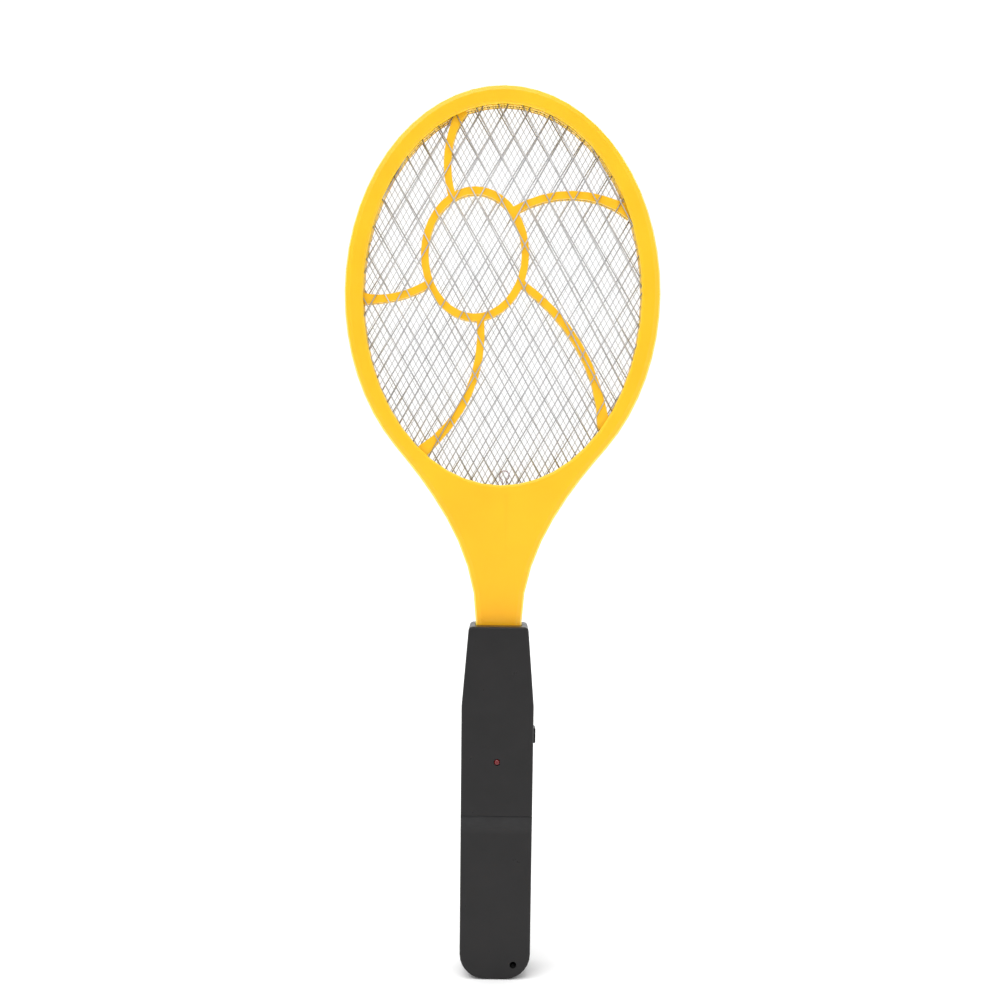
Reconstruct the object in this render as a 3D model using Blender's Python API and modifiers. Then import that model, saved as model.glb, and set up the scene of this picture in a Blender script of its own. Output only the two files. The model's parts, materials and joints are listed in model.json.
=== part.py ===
"""Electric fly swatter: three wire grids in a racket-shaped frame, on a handle that holds two AA cells.

World frame in metres: +Z runs up the swatter from the foot of the handle, the front looks towards -Y
and +X is to the right seen from the front.  Outlines are lists of (x, z) points.
"""
import math

import bmesh
import bpy
from mathutils import Matrix, Vector

MM = 0.001
GAP = 0.3 * MM                      # between pieces that touch on the real object
OVER = 1.0 * MM                     # how far a cutter stands out of what it cuts

# Head: an elliptical ring round the grids
HEAD_WIDTH = 158.0 * MM
HEAD_HEIGHT = 208.0 * MM
RING_SIDE = 9.4 * MM                # ring width beside, above and below the opening
RING_TOP = 9.7 * MM
RING_FOOT = 7.7 * MM
RING_ROUNDING = 3.0 * MM
LIP_ROUNDING = 1.2 * MM             # at the edge of the opening
LIP_THICK = 1.4 * MM                # front and rear lips that hold the stack of grids
SEAT_WIDTH = 3.0 * MM               # how far the stack reaches under the lips
GRID_THICK = 0.5 * MM
CENTRE_GRID_THICK = 0.5 * MM
SPACER_THICK = 2.15 * MM
HEAD_HALF_DEPTH = LIP_THICK + GRID_THICK + SPACER_THICK + 3 * GAP + CENTRE_GRID_THICK / 2
OPENING_X = HEAD_WIDTH / 2 - RING_SIDE
OPENING_Z = (HEAD_HEIGHT - RING_TOP - RING_FOOT) / 2
OPENING_DROP = (RING_TOP - RING_FOOT) / 2

# Grids: diamond meshes, and the ribs that keep them apart
MESH_PITCH_X = 11.8 * MM
MESH_PITCH_Z = 21.1 * MM
WIRE_WIDTH = 0.6 * MM
CENTRE_PITCH_X = 23.6 * MM           # the centre grid's finer weave is drawn with one wire in several
CENTRE_PITCH_Z = 42.2 * MM
RIM_INSET = 0.6 * MM                # the grids' rims start this far under the lips
GRID_PLAY = 0.4 * MM                # between a grid's outer edge and its seat
RIB_RELIEF = 0.15 * MM              # ribs are this much thinner than the rim on each side
SMALLEST_HOLE = 0.30                # part of a whole diamond that is still worth cutting at the rim
RIB_WIDTH = 3.7 * MM
HUB_X = -14.0 * MM                  # middle of the ribs' hub ring, from the middle of the opening
HUB_Z = 20.4 * MM
HUB_WIDTH = 54.2 * MM
HUB_HEIGHT = 67.4 * MM
RIB_SWEEPS = (                      # each rib: angle on the hub, angle on the rim, bow to its left
    (117.6, 107.6, 4.5 * MM),
    (42.7, 25.5, 8.7 * MM),
    (-26.0, -43.4, 9.7 * MM),
    (-82.9, -124.6, 9.9 * MM),
    (-152.4, -178.5, 3.0 * MM),
)

# Neck
NECK_LENGTH = 62.0 * MM             # from the handle's top to the lowest point of the head's ellipse
NECK_WIDTH = 23.0 * MM
NECK_STRAIGHT = 1.5 * MM            # parallel stretch above the handle
NECK_WALL = 2.0 * MM
NECK_FRONT_WALL = 2.0 * MM
FLARE_ANGLE = -48.0                 # where the neck's sides leave the ellipse, in degrees
FLARE_PULL_TOP = 22.0 * MM
FLARE_PULL_FOOT = 38.5 * MM
CROWN_TURN = 6.0                    # degrees of the ellipse between two points of the outline
TONGUE_LENGTH = 15.0 * MM           # the neck's stretch inside the handle
POCKET_ROOF = 1.0 * MM              # solid plastic between the neck's hollow and the opening
POCKET_SLOPE = 0.6                  # the hollow's corners close in by this much for each unit of height
NECK_SCREW_RISE = 5.0 * MM          # above the tongue's end
FLANGE_HEIGHT = 3.5 * MM

# Batteries and their bay
CELL_DIAMETER = 14.3 * MM
CELL_LENGTH = 50.5 * MM
CELL_ROOM = 1.0 * MM                # beside and between the cells
NUB_DIAMETER = 5.4 * MM
NUB_HEIGHT = 1.0 * MM
CELL_SHOULDER = 0.8 * MM
CELL_FOOT_EDGE = 0.6 * MM
SPRING_LENGTH = 5.0 * MM
SPRING_WIRE = 0.7 * MM
SPRING_TURNS = 3.0
SPRING_WIDE = 3.6 * MM               # coil radius at the plate and at the cell
SPRING_NARROW = 2.5 * MM
PLATE_THICK = 0.4 * MM
PLATE_WIDTH = 10.0 * MM
FOOT_ROOM = 13.0 * MM               # below the bay
PARTITION = 1.8 * MM
PARTITION_DIP = 1.0 * MM            # from the cells' front to the partitions' front edge
SEAM_MARGIN = 7.4 * MM              # from the bay's upper partition to the seam

# Handle
WALL = 2.0 * MM
HANDLE_WIDTH = 2 * CELL_DIAMETER + 3 * CELL_ROOM + 2 * WALL
COLLAR = 3.2 * MM                   # handle's top beside the neck
FOOT_TAPER = 1.0 * MM               # its foot is this much narrower than its widest place
HANDLE_TOP_WIDTH = NECK_WIDTH + 2 * COLLAR
HANDLE_FOOT_WIDTH = HANDLE_WIDTH - FOOT_TAPER
COVER_ROOM = 8.4 * MM               # between the cells and the battery cover
HANDLE_DEPTH = CELL_DIAMETER + GAP + COVER_ROOM + 2 * WALL
TAPER_LENGTH = 39.0 * MM            # the handle narrows over this much of its top
FOOT_RADIUS = 12.2 * MM
TOP_RADIUS = 2.0 * MM
CASE_EDGE = 0.8 * MM
RAMP_LENGTH = 7.4 * MM              # thumb ramp at the top of the battery cover
RAMP_DEPTH = 0.8 * MM
BAY_LENGTH = CELL_LENGTH + SPRING_LENGTH + 2 * PLATE_THICK + 5 * GAP
COVER_HEIGHT = FOOT_ROOM + BAY_LENGTH + PARTITION + SEAM_MARGIN

# Battery cover's tongues and screw
TONGUE_WIDTH = 6.0 * MM
TONGUE_SPREAD = 9.5 * MM
TONGUE_REACH = 3.0 * MM
TONGUE_THICK = 1.5 * MM
COVER_SCREW_X = 9.0 * MM
COVER_SCREW_Z = 7.1 * MM
COVER_SCREW_RECESS = 7.0 * MM       # from the cover's face to the screw's head
COVER_SCREW_BITE = 2.0 * MM         # how far its tip reaches into the boss

# Fasteners: head diameter, head height, shank diameter
SMALL_SCREW = (2.8 * MM, 1.2 * MM, 1.7 * MM)
CASE_SCREW = (4.2 * MM, 1.5 * MM, 2.2 * MM)
BOSS_WALL = 1.5 * MM
RIM_SCREW_ANGLES = (38.0, 142.0, 216.0, 324.0)

# Electronics
BOARD_RISE = 8.0 * MM               # board's lower edge above the seam
BOARD_HEADROOM = 10.0 * MM          # from its upper edge to the neck's tongue
BOARD_END = 12.0 * MM               # from its last row of parts to its upper edge
BOARD_WIDTH = 23.0 * MM
BOARD_THICK = 1.6 * MM
BOARD_DEPTH = 7.9 * MM              # board's front face behind the handle's front
LED_DIAMETER = 3.0 * MM
LED_RISE = 26.5 * MM                # above the seam
LED_FLANGE = 1.0 * MM
LED_DOME = 0.4 * MM                 # how far the lens stands out of the handle
LED_CROWN = 1.2 * MM                # height of the lens's rounded end
LED_RIM = 0.4 * MM
LED_PIN_X = 1.2 * MM
LEG_DIAMETER = 0.5 * MM
BUTTON_RISE = 38.0 * MM             # middle of the side button above the seam
BUTTON_HEIGHT = 7.5 * MM
BUTTON_DEPTH = 9.0 * MM
BUTTON_STANDOUT = 1.3 * MM
BUTTON_FLANGE = 1.3 * MM
BUTTON_TRAVEL = 1.0 * MM
BUTTON_ROUNDING = 0.6 * MM
SWITCH_SIZE = 6.0 * MM
PLUNGER_DIAMETER = 3.0 * MM
PLUNGER_SHOW = 2.4 * MM             # plunger outside its switch when released
PLUNGER_HELD = 1.2 * MM             # plunger inside its switch when released
PLUNGER_EDGE = 0.3 * MM
LEAD_DIAMETER = 1.2 * MM
TERMINAL_LOOP = 5.4 * MM
TERMINAL_WIRE = 0.6 * MM
TERMINAL_RISE = 4.9 * MM            # middle of the loop above the opening's lowest point
TERMINAL_X = 2.0 * MM
TERMINAL_LEG = 0.8 * MM             # half the distance between its legs
TERMINAL_ROOT = 4.0 * MM            # its legs' length below the grids' seat
TERMINAL_TURN = (-60, 240)          # degrees of the loop
CASE_SCREW_DROP = 5.0 * MM          # upper case screw below the tongue's end
CASE_SCREW_LIFT = 4.0 * MM          # lower case screw above the seam
BOARD_SCREW_INSET = 3.5 * MM        # from the board's ends

# Parts on the board's rear face: place across from its middle and up from its foot
TRANSFORMER_SPOT = (-3.0 * MM, 15.0 * MM)
WINDOW = (8.6 * MM, 7.0 * MM)        # of the transformer's core
CORE_BAR = 2.6 * MM
CORE_DEPTH = 5.0 * MM
CORE_RAISE = 3.0 * MM                # of the core above the board
WINDING_STANDOUT = 6.0 * MM
WINDING_ROUNDING = 1.0 * MM
FILM_SPOT = (-10.0 * MM, 25.8 * MM)
FILM_SIZE = (11.0 * MM, 5.5 * MM, 9.0 * MM)
FILM_ROUNDING = 0.9 * MM
DISC_RADIUS = 3.2 * MM
DISC_THICK = 2.8 * MM
DISC_ROUNDING = 0.7 * MM
DISC_PITCH = 7.5 * MM
DISC_RISE = 41.0 * MM
DIODE = (4.6 * MM, 2.6 * MM, 1.2 * MM)       # body length, diameter, lead length
DIODE_PITCH = 7.6 * MM
DIODE_RISE = 48.0 * MM
RESISTOR = (3.6 * MM, 2.0 * MM, 1.3 * MM)    # body length, diameter, lead length
BASE_RESISTOR_SPOT = (3.4 * MM, 3.5 * MM)
LED_RESISTOR_SPOT = (6.0 * MM, 23.5 * MM)
TRANSISTOR_SPOT = (8.0 * MM, 11.5 * MM)
TRANSISTOR_RADIUS = 2.3 * MM
TRANSISTOR_LENGTH = 4.6 * MM
TRANSISTOR_FLAT = 0.6                # from its middle to its flat side, as part of its radius

# Leads: how far each end reaches
LEAD_ON_BOARD = 6.0 * MM
POSITIVE_LEAD_X = -4.5 * MM          # its end on the board
LEAD_RISE = 5.0 * MM                 # over which the neck's leads bend forward
LEAD_AT_NECK = 4.0 * MM

# Places that several pieces share
BOARD_LENGTH = DIODE_RISE + BOARD_END
UPPER_LENGTH = BOARD_RISE + BOARD_LENGTH + BOARD_HEADROOM + TONGUE_LENGTH    # from the seam up
HANDLE_LENGTH = COVER_HEIGHT + UPPER_LENGTH
SHOULDER = HANDLE_LENGTH - TAPER_LENGTH
HEAD_Z = HANDLE_LENGTH + NECK_LENGTH + HEAD_HEIGHT / 2
HANDLE_TOP_LOCAL = HANDLE_LENGTH - HEAD_Z
FRONT = -HANDLE_DEPTH / 2
INNER_REAR = HANDLE_DEPTH / 2 - WALL
CELL_X = (CELL_DIAMETER + CELL_ROOM) / 2
CELL_Y = INNER_REAR - GAP - CELL_DIAMETER / 2
PARTITION_FRONT = CELL_Y - CELL_DIAMETER / 2 + PARTITION_DIP
BAY_TOP = FOOT_ROOM + BAY_LENGTH
BOARD_FOOT = COVER_HEIGHT + BOARD_RISE
BOARD_FRONT = FRONT + BOARD_DEPTH
BOARD_BACK = BOARD_FRONT + BOARD_THICK
BUTTON_Z = COVER_HEIGHT + BUTTON_RISE
LED_Z = COVER_HEIGHT + LED_RISE
NECK_SCREW_Z = HANDLE_LENGTH - TONGUE_LENGTH + NECK_SCREW_RISE
CASE_SCREW_SPOTS = (
    (0.0, COVER_HEIGHT + CASE_SCREW_LIFT),
    (0.0, HANDLE_LENGTH - TONGUE_LENGTH - CASE_SCREW_DROP),
)
BOARD_SCREW_X = -8.0 * MM
BOARD_SCREW_SPOTS = (
    (BOARD_SCREW_X, BOARD_FOOT + BOARD_SCREW_INSET),
    (BOARD_SCREW_X, BOARD_FOOT + BOARD_LENGTH - BOARD_SCREW_INSET),
)
PIVOT = Vector((0.0, FRONT + RAMP_DEPTH, COVER_HEIGHT))

# Tilts that point a turned piece's top to the front, the rear and the right
TO_FRONT = (90, 0, 0)
TO_REAR = (-90, 0, 0)
TO_RIGHT = (0, 90, 0)

YELLOW = (0.98, 0.60, 0.04)
BLACK = (0.045, 0.045, 0.047)
STEEL = (0.62, 0.63, 0.65)
COPPER = (0.72, 0.38, 0.20)
RED = (0.75, 0.04, 0.03)
DARK = (0.04, 0.04, 0.045)
GREEN = (0.12, 0.30, 0.10)
BEIGE = (0.72, 0.60, 0.42)
CREAM = (0.75, 0.74, 0.70)


# ---------------------------------------------------------------- scene and materials

def clear_scene():
    for thing in list(bpy.data.objects):
        bpy.data.objects.remove(thing, do_unlink=True)


def new_collection(name):
    collection = bpy.data.collections.new(name)
    bpy.context.scene.collection.children.link(collection)
    return collection


def add_empty(name, place):
    empty = bpy.data.objects.new(name, None)
    empty.location = place
    empty.empty_display_size = 0.01
    SWATTER.objects.link(empty)
    return empty


def paint(piece, colour, roughness, metallic=0.0):
    material = bpy.data.materials.new(piece.name + "_material")
    material.use_nodes = True
    shader = material.node_tree.nodes["Principled BSDF"]
    shader.inputs["Base Color"].default_value = (*colour, 1.0)
    shader.inputs["Roughness"].default_value = roughness
    shader.inputs["Metallic"].default_value = metallic
    piece.data.materials.append(material)
    return piece


# ---------------------------------------------------------------- solids

def place(name, data, parent, location=(0, 0, 0), cutter=False):
    piece = bpy.data.objects.new(name, data)
    piece.parent = parent
    piece.location = location
    if cutter:
        piece.display_type = "WIRE"
        piece.hide_render = True
        CUTTERS.objects.link(piece)
    else:
        SWATTER.objects.link(piece)
    return piece


def mesh_from(name, bm, smooth=False):
    bmesh.ops.recalc_face_normals(bm, faces=bm.faces)
    for face in bm.faces:
        face.smooth = smooth
    mesh = bpy.data.meshes.new(name)
    bm.to_mesh(mesh)
    bm.free()
    return mesh


def box(name, parent, low, high, cutter=False):
    """A box between two corners."""
    low = Vector(low)
    high = Vector(high)
    bm = bmesh.new()
    bmesh.ops.create_cube(bm, size=1.0, matrix=Matrix.Diagonal((*(high - low), 1.0)))
    return place(name, mesh_from(name, bm), parent, (low + high) / 2, cutter)


def rods(name, parent, spots, radius, y_low, y_high, cutter=False, segments=16):
    """Cylinders along Y, one at each (x, z) spot."""
    bm = bmesh.new()
    turn = Matrix.Rotation(math.radians(90), 4, "X")
    for x, z in spots:
        shift = Matrix.Translation((x, (y_low + y_high) / 2, z))
        bmesh.ops.create_cone(bm, cap_ends=True, segments=segments, radius1=radius, radius2=radius,
                              depth=y_high - y_low, matrix=shift @ turn)
    return place(name, mesh_from(name, bm, smooth=not cutter), parent, cutter=cutter)


def flat(name, parent, outlines, y_low, y_high, cutter=False):
    """A flat piece across Y: the first outline is its rim, the others are its holes."""
    curve = bpy.data.curves.new(name, "CURVE")
    curve.dimensions = "2D"
    curve.fill_mode = "BOTH"
    curve.extrude = (y_high - y_low) / 2
    for outline in outlines:
        spline = curve.splines.new("POLY")
        spline.points.add(len(outline) - 1)
        for point, (x, z) in zip(spline.points, outline):
            point.co = (x, z, 0.0, 1.0)
        spline.use_cyclic_u = True
    drawing = bpy.data.objects.new(name + "_outline", curve)
    drawing.rotation_euler.x = math.radians(90)
    CUTTERS.objects.link(drawing)
    bpy.context.view_layer.update()
    mesh = bpy.data.meshes.new_from_object(drawing.evaluated_get(bpy.context.evaluated_depsgraph_get()))
    mesh.transform(drawing.matrix_world)
    bpy.data.objects.remove(drawing, do_unlink=True)
    bm = bmesh.new()
    bm.from_mesh(mesh)
    bpy.data.meshes.remove(mesh)
    bmesh.ops.remove_doubles(bm, verts=bm.verts, dist=0.00001)
    bmesh.ops.dissolve_limit(bm, angle_limit=math.radians(0.5), verts=bm.verts, edges=bm.edges)
    return place(name, mesh_from(name, bm), parent, (0.0, (y_low + y_high) / 2, 0.0), cutter)


def turned(name, parent, profile, location, tilt=(0, 0, 0), steps=16):
    """A turned piece: the profile's (radius, height) points run down its outer side."""
    mesh = bpy.data.meshes.new(name)
    mesh.from_pydata([(radius, 0.0, height) for radius, height in profile],
                     [(i, i + 1) for i in range(len(profile) - 1)], [])
    piece = place(name, mesh, parent, location)
    piece.rotation_euler = [math.radians(turn) for turn in tilt]
    screw = piece.modifiers.new("turn", "SCREW")
    screw.steps = steps
    screw.render_steps = steps
    screw.use_merge_vertices = True
    screw.merge_threshold = 0.00001
    screw.use_smooth_shade = True
    return piece


def wire(name, parent, points, diameter, resolution=2):
    """A wire or a lead through the points."""
    curve = bpy.data.curves.new(name, "CURVE")
    curve.dimensions = "3D"
    curve.bevel_depth = diameter / 2
    curve.bevel_resolution = resolution
    curve.use_fill_caps = True
    spline = curve.splines.new("POLY")
    spline.points.add(len(points) - 1)
    for point, co in zip(spline.points, points):
        point.co = (*co, 1.0)
    return place(name, curve, parent)


def combine(piece, other, operation):
    boolean = piece.modifiers.new(other.name, "BOOLEAN")
    boolean.operation = operation
    boolean.solver = "EXACT"
    boolean.object = other


def cut(piece, *others):
    for other in others:
        combine(piece, other, "DIFFERENCE")


def join(piece, *others):
    for other in others:
        combine(piece, other, "UNION")


def round_edges(piece, y_edge, radius, keep_sharp=lambda start, end: False, inner=None):
    """Rounds the outline's edges on the side at y_edge (from the piece's origin).

    Edges that keep_sharp picks out stay square; inner(start, end) gives other edges' share of the radius.
    """
    bm = bmesh.new()
    bm.from_mesh(piece.data)
    weights = bm.edges.layers.float.new("bevel_weight_edge")
    for edge in bm.edges:
        start, end = (vert.co for vert in edge.verts)
        on_side = abs(start.y - y_edge) < GAP / 10 and abs(end.y - y_edge) < GAP / 10
        corner = any(abs(face.normal.y) < 0.5 for face in edge.link_faces)
        if on_side and corner and not keep_sharp(start, end):
            edge[weights] = inner(start, end) if inner else 1.0
    bm.to_mesh(piece.data)
    bm.free()
    bevel = piece.modifiers.new("rounding", "BEVEL")
    bevel.width = radius
    bevel.segments = 2
    bevel.limit_method = "WEIGHT"
    bevel.use_clamp_overlap = False


def soften(piece, radius, segments=2):
    bevel = piece.modifiers.new("soft edges", "BEVEL")
    bevel.width = radius
    bevel.segments = segments
    bevel.limit_method = "ANGLE"


# ---------------------------------------------------------------- outlines

def arc(centre, radius, start, end, segments):
    """Points on a circle from one angle to another, in degrees."""
    turns = [math.radians(start + (end - start) * i / segments) for i in range(segments + 1)]
    return [(centre[0] + radius * math.cos(t), centre[1] + radius * math.sin(t)) for t in turns]


def ellipse_point(semi_x, semi_z, degrees, centre=(0.0, 0.0)):
    angle = math.radians(degrees)
    return (centre[0] + semi_x * math.cos(angle), centre[1] + semi_z * math.sin(angle))


def ellipse(semi_x, semi_z, centre=(0.0, 0.0), count=48):
    return [ellipse_point(semi_x, semi_z, 360.0 * i / count, centre) for i in range(count)]


def opening(grow=0.0, count=48):
    """The head's opening, or an ellipse that is larger than it all round."""
    return ellipse(OPENING_X + grow, OPENING_Z + grow, (0.0, -OPENING_DROP), count)


def mirrored(side):
    """A right-hand side, upwards, and its mirror image down again."""
    return side + [(-x, z) for x, z in reversed(side) if x > GAP / 10]


def flare(count=8):
    """The neck's right side, from the head's ellipse down to the neck's parallel stretch."""
    angle = math.radians(FLARE_ANGLE)
    start = Vector(ellipse_point(HEAD_WIDTH / 2, HEAD_HEIGHT / 2, FLARE_ANGLE))
    along = Vector((HEAD_WIDTH * math.sin(angle), -HEAD_HEIGHT * math.cos(angle))).normalized()
    end = Vector((NECK_WIDTH / 2, HANDLE_TOP_LOCAL + NECK_STRAIGHT))
    first = start + along * FLARE_PULL_TOP
    second = end + Vector((0.0, FLARE_PULL_FOOT))
    points = []
    for i in range(count + 1):
        t = i / count
        s = 1 - t
        spot = s**3 * start + 3 * s * s * t * first + 3 * s * t * t * second + t**3 * end
        points.append(tuple(spot))
    return points


def frame_outline():
    """The ring with its neck and the tongue that the handle holds."""
    steps = round((90 - FLARE_ANGLE) / CROWN_TURN)
    crown = [ellipse_point(HEAD_WIDTH / 2, HEAD_HEIGHT / 2, 90 + (FLARE_ANGLE - 90) * (steps - i) / steps)
             for i in range(1, steps + 1)]
    tongue = (NECK_WIDTH / 2, HANDLE_TOP_LOCAL - TONGUE_LENGTH)
    side = [tongue] + list(reversed(flare())) + crown
    return mirrored(side)


def neck_pocket():
    """The neck's hollow, which runs out through the end of the tongue."""
    ceiling = -(OPENING_DROP + OPENING_Z + POCKET_ROOF)
    side = [(x - NECK_WALL, z) for x, z in reversed(flare()) if z < ceiling - RING_FOOT / 2]
    top_x = side[-1][0] + POCKET_SLOPE * (ceiling - side[-1][1])
    foot = (NECK_WIDTH / 2 - NECK_WALL, HANDLE_TOP_LOCAL - TONGUE_LENGTH - OVER)
    return mirrored([foot] + side + [(top_x, ceiling)])


def clipped(shape, boundary):
    """The part of a convex shape that is inside a convex boundary, both anticlockwise."""
    for i, start in enumerate(boundary):
        end = boundary[(i + 1) % len(boundary)]
        kept = []
        for j, point in enumerate(shape):
            before = shape[j - 1]
            here = turn_sign(start, end, point)
            there = turn_sign(start, end, before)
            if here * there < 0:
                share = there / (there - here)
                kept.append((before[0] + share * (point[0] - before[0]),
                             before[1] + share * (point[1] - before[1])))
            if here >= 0:
                kept.append(point)
        shape = kept
        if len(shape) < 3:
            return []
    return shape


def turn_sign(start, end, point):
    return ((end[0] - start[0]) * (point[1] - start[1])
            - (end[1] - start[1]) * (point[0] - start[0]))


def area(shape):
    return sum(a[0] * b[1] - b[0] * a[1] for a, b in zip(shape, shape[1:] + shape[:1])) / 2


def diamonds(pitch_x, pitch_z, shift_x, shift_z):
    """Holes of a diamond mesh, cut off at the inner edge of the grid's rim."""
    reach = math.hypot(pitch_x, pitch_z) / 2
    inward = pitch_x * pitch_z / 4 / reach
    shrink = 1 - WIRE_WIDTH / 2 / inward
    boundary = opening(RIM_INSET, 40)
    whole = pitch_x * pitch_z / 2 * shrink**2
    rows = int(HEAD_HEIGHT / pitch_z) + 2
    columns = int(HEAD_WIDTH / pitch_x) + 2
    holes = []
    for row in range(-rows, rows + 1):
        for column in range(-columns, columns + 1):
            x = (column + 0.5 * (row % 2)) * pitch_x + shift_x
            z = row * pitch_z / 2 + shift_z
            half_x = pitch_x / 2 * shrink
            half_z = pitch_z / 2 * shrink
            hole = clipped([(x + half_x, z), (x, z + half_z), (x - half_x, z), (x, z - half_z)], boundary)
            if hole and area(hole) > SMALLEST_HOLE * whole:
                holes.append(hole)
    return holes


def rib_outline(hub_angle, rim_angle, bow):
    """A curved rib from the hub ring's middle to the rim, wider where it meets the rim."""
    start = Vector(ellipse_point((HUB_WIDTH - RIB_WIDTH) / 2, (HUB_HEIGHT - RIB_WIDTH) / 2, hub_angle,
                                 (HUB_X, HUB_Z - OPENING_DROP)))
    end = Vector(ellipse_point(OPENING_X + SEAT_WIDTH / 2, OPENING_Z + SEAT_WIDTH / 2, rim_angle,
                               (0.0, -OPENING_DROP)))
    chord = (end - start).normalized()
    middle = (start + end) / 2 + 2 * bow * Vector((-chord.y, chord.x))
    left = []
    right = []
    count = 8
    for i in range(count + 1):
        t = i / count
        spot = (1 - t)**2 * start + 2 * t * (1 - t) * middle + t * t * end
        along = ((1 - t) * (middle - start) + t * (end - middle)).normalized()
        across = Vector((-along.y, along.x)) * RIB_WIDTH / 2 * (1 + 0.8 * t**8)
        left.append(tuple(spot + across))
        right.append(tuple(spot - across))
    return clipped(right + left[::-1], opening(SEAT_WIDTH - 2 * GAP))


def handle_half(z):
    """Half the handle's width at a height."""
    if z < SHOULDER:
        return (HANDLE_FOOT_WIDTH + (HANDLE_WIDTH - HANDLE_FOOT_WIDTH) * z / SHOULDER) / 2
    return (HANDLE_WIDTH + (HANDLE_TOP_WIDTH - HANDLE_WIDTH) * (z - SHOULDER) / TAPER_LENGTH) / 2


def handle_outline(low, high, inset=0.0, foot_radius=0.0, top_radius=0.0):
    """The handle's outline between two heights, with rounded corners where a radius is given."""
    side = [(handle_half(low) - inset, low)]
    if foot_radius:
        corner = (handle_half(low + foot_radius) - inset - foot_radius, low + foot_radius)
        side = arc(corner, foot_radius, -90, 0, 7)
    if low < SHOULDER < high:
        side.append((handle_half(SHOULDER) - inset, SHOULDER))
    if top_radius:
        corner = (handle_half(high - top_radius) - inset - top_radius, high - top_radius)
        side += arc(corner, top_radius, 0, 90, 3)
    else:
        side.append((handle_half(high) - inset, high))
    return mirrored(side)


# ---------------------------------------------------------------- head

def screw_profile(size, length):
    head, height, shank = size
    return [(0.0, height), (head / 2 - height / 4, height), (head / 2, height * 0.7), (head / 2, 0.0),
            (shank / 2, 0.0), (shank / 2, -length + shank / 2), (0.0, -length)]


def add_screw(name, parent, size, length, spot, tilt):
    return paint(turned(name, parent, screw_profile(size, length), spot, tilt, 12), STEEL, 0.35, 1.0)


def rim_screw_spots():
    """Middles of the ring's solid band, outside the seat of the grids."""
    middle = (RING_SIDE + SEAT_WIDTH) / 2 - RING_ROUNDING / 6
    return [ellipse_point(OPENING_X + middle, OPENING_Z + middle, angle, (0.0, -OPENING_DROP))
            for angle in RIM_SCREW_ANGLES]


def head_frame(name, side):
    """Half of the ring and neck: side is -1 for the front half and +1 for the rear half."""
    outer = side * HEAD_HALF_DEPTH
    inner = side * GAP / 2
    low, high = sorted((outer, inner))
    frame = flat(name, HEAD, [frame_outline(), opening()], low, high)
    lip_share = LIP_ROUNDING / RING_ROUNDING

    def share(start, end):
        middle = (start + end) / 2
        inside = (middle.x / OPENING_X)**2 + ((middle.z + OPENING_DROP) / OPENING_Z)**2 < 1.02
        return lip_share if inside else 1.0

    round_edges(frame, side * (high - low) / 2, RING_ROUNDING, inner=share)
    seat_low, seat_high = sorted((side * (HEAD_HALF_DEPTH - LIP_THICK), -side * OVER))
    pocket_low, pocket_high = sorted((side * (HEAD_HALF_DEPTH - NECK_FRONT_WALL), -side * OVER))
    seat = flat(name + "_seat_cutter", HEAD, [opening(SEAT_WIDTH)], seat_low, seat_high, cutter=True)
    pocket = flat(name + "_pocket_cutter", HEAD, [neck_pocket()], pocket_low, pocket_high, cutter=True)
    flange_top = HANDLE_TOP_LOCAL - WALL - GAP
    flange_half = HANDLE_TOP_WIDTH / 2 - WALL - GAP
    flange = box(name + "_flange", HEAD, (-flange_half, low + GAP, flange_top - FLANGE_HEIGHT),
                 (flange_half, high - GAP, flange_top), cutter=True)
    post_low, post_high = sorted((inner, side * (HEAD_HALF_DEPTH - NECK_FRONT_WALL / 2)))
    post = rods(name + "_post", HEAD, [(0.0, NECK_SCREW_Z - HEAD_Z)], CASE_SCREW[2] / 2 + BOSS_WALL,
                post_low, post_high, cutter=True)
    join(frame, flange)
    cut(frame, seat, pocket)
    join(frame, post)
    return paint(frame, YELLOW, 0.35)


def add_frames():
    front = head_frame("front_frame", -1)
    rear = head_frame("rear_frame", 1)
    spots = rim_screw_spots()
    shank = SMALL_SCREW[2] / 2
    neck = [(0.0, NECK_SCREW_Z - HEAD_Z)]
    front_pilot = -HEAD_HALF_DEPTH + LIP_THICK
    cut(front, rods("front_pilot_cutter", HEAD, spots, shank + GAP, front_pilot, OVER, cutter=True),
        rods("neck_pilot_cutter", HEAD, neck, CASE_SCREW[2] / 2 + GAP, front_pilot, OVER, cutter=True))
    seat = HEAD_HALF_DEPTH - SMALL_SCREW[1] - GAP
    above = HEAD_HALF_DEPTH + OVER
    cut(rear, rods("rim_head_cutter", HEAD, spots, SMALL_SCREW[0] / 2 + GAP, seat - GAP, above, cutter=True),
        rods("rim_hole_cutter", HEAD, spots, shank + GAP, -OVER, seat + GAP, cutter=True),
        rods("neck_hole_cutter", HEAD, neck, CASE_SCREW[2] / 2 + GAP, -OVER, above, cutter=True))
    length = seat - front_pilot - GAP
    for i, (x, z) in enumerate(spots):
        add_screw(f"rim_screw_{i + 1}", HEAD, SMALL_SCREW, length, (x, seat, z), TO_REAR)


def add_grid(name, middle, thickness, pitch_x, pitch_z, shift_x, shift_z):
    rim = opening(SEAT_WIDTH - GRID_PLAY)
    holes = diamonds(pitch_x, pitch_z, shift_x, shift_z)
    grid = flat(name, HEAD, [rim] + holes, middle - thickness / 2, middle + thickness / 2)
    return paint(grid, STEEL, 0.38, 1.0)


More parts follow.
